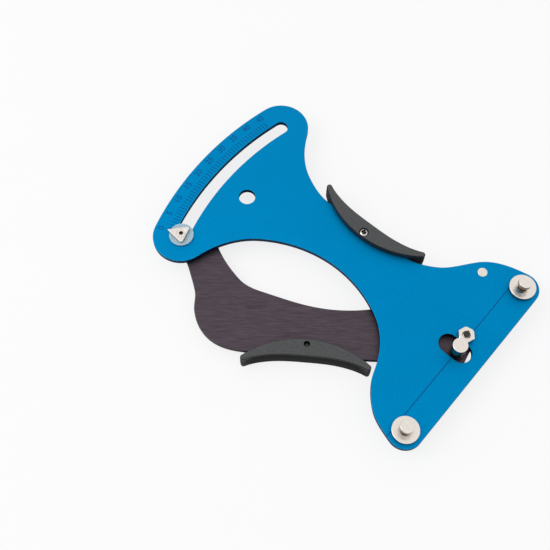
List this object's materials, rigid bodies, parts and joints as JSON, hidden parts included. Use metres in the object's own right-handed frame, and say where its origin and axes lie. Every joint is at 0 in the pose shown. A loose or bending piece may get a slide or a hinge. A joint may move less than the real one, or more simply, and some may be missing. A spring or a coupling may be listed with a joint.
{
  "type": "spoke tension meter",
  "caption": "Flat hand tool that bends a wheel spoke between posts to show its tension: plate with a curved slotted scale, sprung lever with a pointer, crescent grips.",
  "frame": {"origin": "on the pivot axis, level with the underside of the pivot bolt's head, which is the tool's lowest level", "axes": "+X along the tool, away from the grips and the scale; +Y up the spoke line, from the lower to the upper fixed post; +Z towards the side with the scale"},
  "size_m": [0.1935, 0.139, 0.0197],
  "materials": {
    "blue_anodised": "fine matte blue anodising",
    "plum_anodised": "dark plum-grey anodising over a fine brushed grain",
    "black_nylon": "black moulded plastic with a fine satin grain",
    "nickel_steel": "bright nickel plate, slightly warm",
    "white_nylon": "natural nylon, slightly see-through",
    "bronze": "plain turned bronze",
    "spring_steel": "bright drawn wire"
  },
  "bodies": {
    "frame": {"frame_plate": "blue_anodised", "upper_fixed_post": "nickel_steel", "lower_fixed_post": "nickel_steel", "upper_post_nut": "nickel_steel", "lower_post_nut": "nickel_steel", "spring_anchor_stud": "nickel_steel", "pivot_bolt": "nickel_steel", "pivot_nut": "nickel_steel", "pivot_thrust_washer": "bronze", "pivot_head_washer": "nickel_steel", "frame_grip_front": "black_nylon", "frame_grip_back": "black_nylon", "frame_grip_screw": "nickel_steel", "return_spring": "spring_steel"},
    "lever": {"lever_plate": "plum_anodised", "pivot_bushing": "bronze", "moving_post": "nickel_steel", "lever_spring_stud": "nickel_steel", "pointer": "nickel_steel", "pointer_washer": "white_nylon", "pointer_spacer": "bronze", "pointer_screw": "nickel_steel", "pointer_nut": "nickel_steel", "lever_grip_front": "black_nylon", "lever_grip_back": "black_nylon", "lever_grip_screw": "nickel_steel"}
  },
  "joints": [
    {"name": "lever_hinge", "type": "hinge", "parent": "frame", "child": "lever", "pos_m": [0, 0, 0.0055], "axis": [0, 0, -1], "range_deg": [0, 32], "stiffness_Nm_per_rad": 0.6, "springref_deg": -20.05, "deforming": ["return_spring"]}
  ]
}
